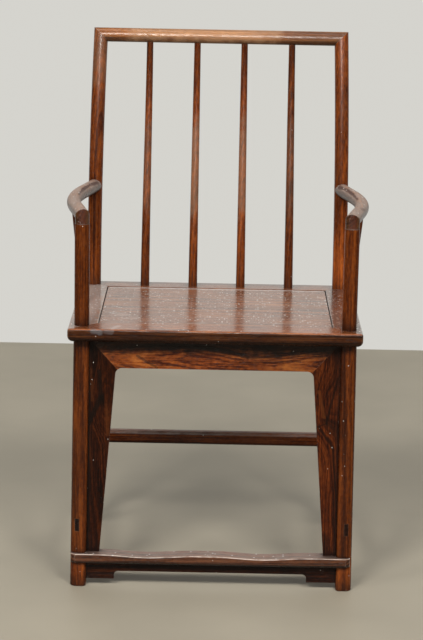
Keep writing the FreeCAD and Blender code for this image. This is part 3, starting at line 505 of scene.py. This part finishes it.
def make_room():
    """Pale surroundings for the eye, and a much dimmer room for light and reflections."""
    world = bpy.data.worlds.new("room")
    world.use_nodes = True
    bpy.context.scene.world = world
    world.node_tree.nodes.clear()
    tree = Tree(world.node_tree)
    seen = tree.add("ShaderNodeBackground", {"Color": wall_colour, "Strength": wall_glow})
    dim = tree.add("ShaderNodeBackground", {"Color": room_colour, "Strength": room_glow})
    path = tree.add("ShaderNodeLightPath")
    chosen = tree.add("ShaderNodeMixShader", {
        0: path.outputs["Is Camera Ray"], 1: dim.outputs["Background"], 2: seen.outputs["Background"]})
    tree.add("ShaderNodeOutputWorld", {"Surface": chosen.outputs["Shader"]})


def sheet(name, corners, material):
    """A flat stage piece through its corners."""
    mesh = bpy.data.meshes.new(name)
    mesh.from_pydata(corners, [], [tuple(range(len(corners)))])
    mesh.materials.append(material)
    piece = new_object(name, mesh)
    return piece


def new_material(name):
    material = bpy.data.materials.new(name)
    material.use_nodes = True
    material.node_tree.nodes.clear()
    return material, Tree(material.node_tree)


def floor_material():
    material, tree = new_material("floor")
    place = tree.add("ShaderNodeTexCoord").outputs["Object"]
    stain = tree.noise(place, alike(1.0 / floor_stain_size), rich_detail)
    colour = tree.scaled(floor_colour, tree.band(stain, *floor_stain_range, *floor_stain_shares))
    shader = tree.add("ShaderNodeBsdfPrincipled", {"Base Color": colour, "Roughness": floor_gloss})
    tree.add("ShaderNodeOutputMaterial", {"Surface": shader.outputs["BSDF"]})
    return material


def wall_material():
    material, tree = new_material("wall")
    shader = tree.add("ShaderNodeEmission", {"Color": wall_colour, "Strength": wall_glow})
    tree.add("ShaderNodeOutputMaterial", {"Surface": shader.outputs["Emission"]})
    return material


def make_stage():
    """A floor under the chair, and a bright wall behind it."""
    half = floor_side / 2
    near = wall_place - floor_side
    sheet("floor", [(-half, near, 0), (half, near, 0), (half, wall_place, 0), (-half, wall_place, 0)],
          floor_material())
    wide = wall_half_width
    wall = sheet("wall", [(-wide, wall_place, 0), (wide, wall_place, 0),
                          (wide, wall_place, wall_height), (-wide, wall_place, wall_height)],
                 wall_material())
    wall.visible_camera = False


def figure_sway(tree, given):
    """A place in the tree, moved by the slow sway and the small curls of its figure."""
    place = given["Place"]
    centre = alike(noise_middle)
    sway = tree.noise(place, sway_rates, output="Color")
    curl = tree.noise(place, curl_rates, rich_detail, output="Color")
    swing = tree.vector("ADD", tree.vector("SUBTRACT", sway, centre),
                        tree.scaled(tree.vector("SUBTRACT", curl, centre), curl_share))
    return tree.vector("ADD", place, tree.scaled(swing, given["Figure"]))


def knot_nearness(tree, moved, given):
    """One in the knot, and zero out of its reach."""
    from_knot = tree.vector("MULTIPLY", tree.vector("SUBTRACT", moved, given["Knot"]), knot_slim_shares)
    return tree.band(tree.vector("LENGTH", from_knot, output="Value"), given["Knot Reach"], 0.0)


def ring_radius(tree, moved, given, knot):
    """How far the rings at a place are from the tree's middle, with the knot pushing them out."""
    parts = tree.parts(tree.vector("SUBTRACT", moved, given["Pith"]))
    across = tree.sums("MULTIPLY_ADD", parts["X"], given["Run Out"], parts["Y"])
    radius = tree.vector("LENGTH", tree.joined({"Y": across, "Z": parts["Z"]}), output="Value")
    return tree.sums("MULTIPLY_ADD", knot, given["Knot Swell"], radius)


def dark_veins(tree, given, radius, knot):
    """Dark veins that follow the rings and fade along them, and the knot's dark eye."""
    distance = tree.sums("MULTIPLY_ADD", radius, vein_rate, given["Ring Seed"])
    vein = tree.band(tree.noise_line(distance, noise_detail, vein_crispness), *vein_range)
    fade = tree.noise(given["Place"], vein_fade_rates)
    vein = tree.sums("MULTIPLY", vein, tree.band(fade, *vein_fade_range))
    return tree.sums("MAXIMUM", vein, tree.band(knot, *knot_eye_range))


def grain_patterns(tree, given):
    """Growth rings round the tree's middle and its knot, dark veins, fibres, pores, mottling and flecks."""
    place = given["Place"]
    moved = figure_sway(tree, given)
    knot = knot_nearness(tree, moved, given)
    radius = ring_radius(tree, moved, given, knot)
    ring_place = tree.sums("MULTIPLY_ADD", radius, ring_rate, given["Ring Seed"])
    return {
        "Ring": tree.noise_line(ring_place, rich_detail, ring_crispness),
        "Vein": dark_veins(tree, given, radius, knot),
        "Fibre": tree.noise(place, fibre_rates),
        "Pore": tree.band(tree.noise(place, pore_rates, pore_detail), *pore_range),
        "Mottle": tree.noise(place, mottle_rates, rich_detail),
        "Fleck": tree.noise(place, fleck_rates)}


def grain_group():
    """Sawn rosewood, for every board to cut its own piece from."""
    group = bpy.data.node_groups.new("rosewood_grain", "ShaderNodeTree")
    inputs = (("Place", "Vector"), ("Pith", "Vector"), ("Run Out", "Float"), ("Figure", "Float"),
              ("Ring Seed", "Float"), ("Knot", "Vector"), ("Knot Reach", "Float"), ("Knot Swell", "Float"))
    for name, kind in inputs:
        group.interface.new_socket(name=name, in_out="INPUT", socket_type="NodeSocket" + kind)
    tree = Tree(group)
    patterns = grain_patterns(tree, tree.add("NodeGroupInput").outputs)
    for name in patterns:
        group.interface.new_socket(name=name, in_out="OUTPUT", socket_type="NodeSocketFloat")
    tree.add("NodeGroupOutput", patterns)
    return group


def box_of(name):
    """The lowest and the highest corner of a node."""
    return [Vector(corner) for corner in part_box(name)]


def place_in_box(name, shares):
    low, high = box_of(name)
    return Vector([a + (b - a) * share for a, b, share in zip(low, high, shares)])


def turned(vector, board):
    """A place or a step with X along the board's grain."""
    return Vector([vector[index] for index in AXIS_ORDER[board.axis]])


def arris_mask(tree, normal):
    """One on a worn arris, and zero on the flat: where a rounded normal leaves the true one."""
    rounded = tree.add("ShaderNodeBevel", {"Radius": arris_radius}, samples=arris_samples)
    lean = tree.vector("DOT_PRODUCT", rounded.outputs["Normal"], normal, output="Value")
    return tree.band(tree.sums("SUBTRACT", 1.0, lean), *arris_range)


def corner_shade_mask(tree):
    """One deep in a corner, where the shade is painted, and zero in the open."""
    around = tree.add("ShaderNodeAmbientOcclusion", {"Distance": corner_reach}, samples=corner_samples)
    return tree.band(around.outputs["AO"], *corner_range)


def end_mask(tree, normal_parts, board):
    """One on end grain, where the face looks along the board."""
    along = tree.sums("ABSOLUTE", normal_parts[AXIS_ORDER[board.axis][0]])
    return tree.band(along, *end_range)


def dust_mask(tree, far, normal_parts, board):
    """Dust in patches on what looks up, with a painted sheen there too."""
    if not board.dust:
        return 0.0
    patchy = tree.noise(far, dust_rates, dust_detail, dust_crispness)
    facing = tree.band(normal_parts["Z"], *dust_facing_range)
    dusty = tree.sums("MULTIPLY", facing, tree.band(patchy, *dust_range, dust_thin_share, 1.0))
    return tree.sums("MULTIPLY", dusty, board.dust)


def mark_mask(tree, place, start, end, radius, ragged):
    """One near the line from start to end, with a ragged edge."""
    away = tree.vector("SUBTRACT", place, start)
    along = end - start
    reach = tree.vector("DOT_PRODUCT", away, along / along.length_squared, output="Value")
    reach = tree.sums("MULTIPLY", reach, 1.0, clamp=True)
    away = tree.vector("SUBTRACT", away, tree.scaled(along, reach))
    distance = tree.vector("LENGTH", away, output="Value")
    torn = tree.sums("MULTIPLY_ADD", ragged, radius * mark_ragged_share, -radius * mark_ragged_share / 2)
    return tree.band(tree.sums("ADD", distance, torn), radius, radius * mark_core_share)


def chip_mask(tree, far, share, arris, upward):
    """Small white chips and crumbs, closer together on the arrises and smaller on upright faces."""
    place = tree.vector("MULTIPLY", far, alike(speck_rate))
    cells = tree.add("ShaderNodeTexVoronoi", {"Vector": place, "Scale": 1.0})
    chance = tree.parts(cells.outputs["Color"])["X"]
    chance = tree.sums("MULTIPLY_ADD", arris, speck_pull * share, chance)
    chosen = tree.sums("GREATER_THAN", chance, 1.0 - share)
    growth = tree.band(upward, 0.0, 1.0, 1.0, speck_growth_share)
    distance = tree.sums("MULTIPLY", cells.outputs["Distance"], growth)
    return tree.sums("MULTIPLY", chosen, tree.band(distance, *speck_range))


def grain_of(tree, group, name, board, far, seed):
    """The grain group's outputs for a board, cut at its own place in the tree."""
    low, high = box_of(name)
    shift = seed_step * seed
    knot = KNOTS.get(name, NO_KNOT)
    knot_step = place_in_box(name, knot.place) - (low + high) / 2
    settings = {
        "Place": far, "Pith": shift + Vector((0.0, *board.pith)), "Run Out": board.run_out,
        "Figure": board.figure, "Ring Seed": seed * ring_seed_step,
        "Knot": shift + turned(knot_step, board), "Knot Reach": knot.reach, "Knot Swell": knot.swell}
    return tree.add("ShaderNodeGroup", settings, node_tree=group).outputs


def wood_colour(tree, made, finish, board, along, tone_and_light_stops):
    """The clean wood: rings between three colours, veins and pores, and lighter and darker stretches, some
    of them painted light, shade, sheen and highlight.
    """
    tone = middle_tone
    for name, share in tone_shares.items():
        swing = tree.sums("SUBTRACT", made[name], noise_middle)
        tone = tree.sums("MULTIPLY_ADD", swing, share * board.contrast, tone)
    peak = max(light for place, light in tone_and_light_stops)
    dark, middle, light, vein = (tuple(peak * part for part in tint) for tint in
                                 (finish.dark, finish.middle, finish.light, finish.vein))
    colour = tree.ramp(tone, list(zip(tone_places, (dark, middle, light))))
    colour = tree.mix(tree.sums("MULTIPLY", made["Vein"], board.veining), colour, vein)
    colour = tree.mix(tree.sums("MULTIPLY", made["Pore"], pore_share), colour, vein)
    stretches = tree.ramp(along, [(place, alike(light / peak)) for place, light in tone_and_light_stops])
    return tree.vector("MULTIPLY", colour, stretches)


def painted_shade_colour(tree, colour, board, normal_parts, upward):
    """Painted shade on upright faces and undersides, and the tint of end grain."""
    if board.upright_shade_share != 1.0:
        colour = tree.scaled(colour, tree.band(upward, 0.0, 1.0, board.upright_shade_share, 1.0))
    colour = tree.scaled(colour, tree.band(normal_parts["Z"], *underside_shade_range, 1.0, underside_shade_share))
    ends = end_mask(tree, normal_parts, board)
    return tree.mix(ends, colour, tree.vector("MULTIPLY", colour, board.end_tint))


def worn_and_highlight_colour(tree, colour, finish, board, normal, arris, rubbed):
    """Pale wear along the arrises, which also paints highlights on them, and a painted highlight along a
    rounded front edge that looks forwards and up, where the board has one.
    """
    worn_and_highlight = tree.sums("MULTIPLY", arris, tree.band(rubbed, *wear_range))
    colour = tree.mix(tree.sums("MULTIPLY", worn_and_highlight, board.arris_wear_and_highlight), colour, finish.worn_and_highlight)
    if board.lip_highlight:
        lean = tree.vector("DOT_PRODUCT", normal, lip_highlight_direction, output="Value")
        lip_highlight = tree.sums("MULTIPLY", tree.band(lean, *lip_highlight_range), tree.band(rubbed, *lip_highlight_break_range))
        colour = tree.mix(tree.sums("MULTIPLY", lip_highlight, board.lip_highlight), colour, finish.worn_and_highlight)
    return colour


def marked_colour(tree, colour, name, place, ragged):
    """The board's own streaks, films and faded places."""
    for mark in MARKS.get(name, ()):
        start = place_in_box(name, mark.start)
        end = place_in_box(name, mark.end)
        mask = mark_mask(tree, place, start, end, mark.radius, ragged)
        colour = tree.mix(tree.sums("MULTIPLY", mask, mark.share), colour, mark.colour)
    return colour


def corner_shade_and_chips_colour(tree, colour, board, far, arris, upward):
    """Painted shade deepening the corners, and white chips over all."""
    colour = tree.mix(tree.sums("MULTIPLY", corner_shade_mask(tree), board.corner_shade), colour, corner_shade_colour)
    if board.chips:
        colour = tree.mix(chip_mask(tree, far, board.chips, arris, upward), colour, speck_colour)
    return colour


def grain_bump(tree, made, far):
    """The normal of a face with fibres and pores in relief on slow waves from the plane."""
    waves = tree.noise(far, wave_rates)
    swell = tree.add("ShaderNodeBump", {"Height": waves, "Distance": wave_relief})
    relief = tree.sums("SUBTRACT", made["Fibre"], made["Pore"])
    bump = tree.add("ShaderNodeBump", {
        "Height": relief, "Distance": grain_relief, "Normal": swell.outputs["Normal"]})
    return bump.outputs["Normal"]


def polished(tree, colour, finish, board, made, far, dusty, upward):
    """The shader of the waxed face, duller in its pores, its mottling and its dust."""
    rough = tree.sums("MULTIPLY_ADD", made["Pore"], pore_roughness, finish.rough - mottle_roughness / 2)
    rough = tree.sums("MULTIPLY_ADD", made["Mottle"], mottle_roughness, rough)
    rough = tree.sums("MULTIPLY_ADD", dusty, dust_roughness, rough)
    coat = finish.coat
    if coat and board.upright_shade_share != 1.0:
        coat = tree.sums("MULTIPLY", upward, coat)
    return tree.add("ShaderNodeBsdfPrincipled", {
        "Base Color": colour, "Roughness": rough, "Normal": grain_bump(tree, made, far),
        "Specular IOR Level": finish.shine * board.polish, "Coat Weight": coat,
        "Coat Roughness": coat_roughness})


def rosewood(name, finish, board, group, seed):
    """Polished rosewood for one board, with its own figure, marks, wear, dust, chips, and painted shade,
    sheen and highlights.
    """
    material, tree = new_material("rosewood_" + name)
    low, high = box_of(name)
    place = tree.add("ShaderNodeTexCoord").outputs["Object"]
    parts = tree.parts(tree.vector("SUBTRACT", place, (low + high) / 2))
    local = tree.joined({rank: parts[index] for rank, index in enumerate(AXIS_ORDER[board.axis])})
    far = tree.vector("ADD", local, seed_step * seed)
    made = grain_of(tree, group, name, board, far, seed)
    length = turned(high - low, board).x
    along = tree.sums("DIVIDE", tree.sums("ADD", tree.parts(local)["X"], length / 2), length)

    normal = tree.add("ShaderNodeNewGeometry").outputs["Normal"]
    normal_parts = tree.parts(normal)
    upward = tree.band(normal_parts["Z"], *upward_range)
    rubbed = tree.noise(far, alike(wear_rate), rich_detail)
    arris = arris_mask(tree, normal)
    dusty = dust_mask(tree, far, normal_parts, board)

    colour = wood_colour(tree, made, finish, board, along, TONE_AND_PAINTED_LIGHT.get(name, EVEN))
    colour = painted_shade_colour(tree, colour, board, normal_parts, upward)
    colour = tree.mix(dusty, colour, dust_colour)
    colour = worn_and_highlight_colour(tree, colour, finish, board, normal, arris, rubbed)
    colour = marked_colour(tree, colour, name, place, rubbed)
    colour = corner_shade_and_chips_colour(tree, colour, board, far, arris, upward)
    shader = polished(tree, colour, finish, board, made, far, dusty, upward)
    tree.add("ShaderNodeOutputMaterial", {"Surface": shader.outputs["BSDF"]})
    return material


def board_of(name):
    """The board that a node is cut from: its own, or the one that it shares with its twin."""
    return BOARDS[name] if name in BOARDS else BOARDS[name.rsplit("_", 1)[0]]


def finish_nodes():
    """Every solid of the frame in its own rosewood."""
    group = grain_group()
    slots = {part["node"]: part["material_slot"] for part in frame["record"]["subparts"]}
    for seed, (name, piece) in enumerate(sorted(frame["nodes"].items()), 1):
        finish = FINISHES[slots[name]]
        piece.material_slots[0].material = rosewood(name, finish, board_of(name), group, seed)


def set_colour_view():
    view = bpy.context.scene.view_settings
    view.view_transform = "Standard"
    view.look = "None"


make_camera()
set_colour_view()
make_room()
make_stage()
for lamp in LAMPS:
    make_lamp(lamp)
finish_nodes()
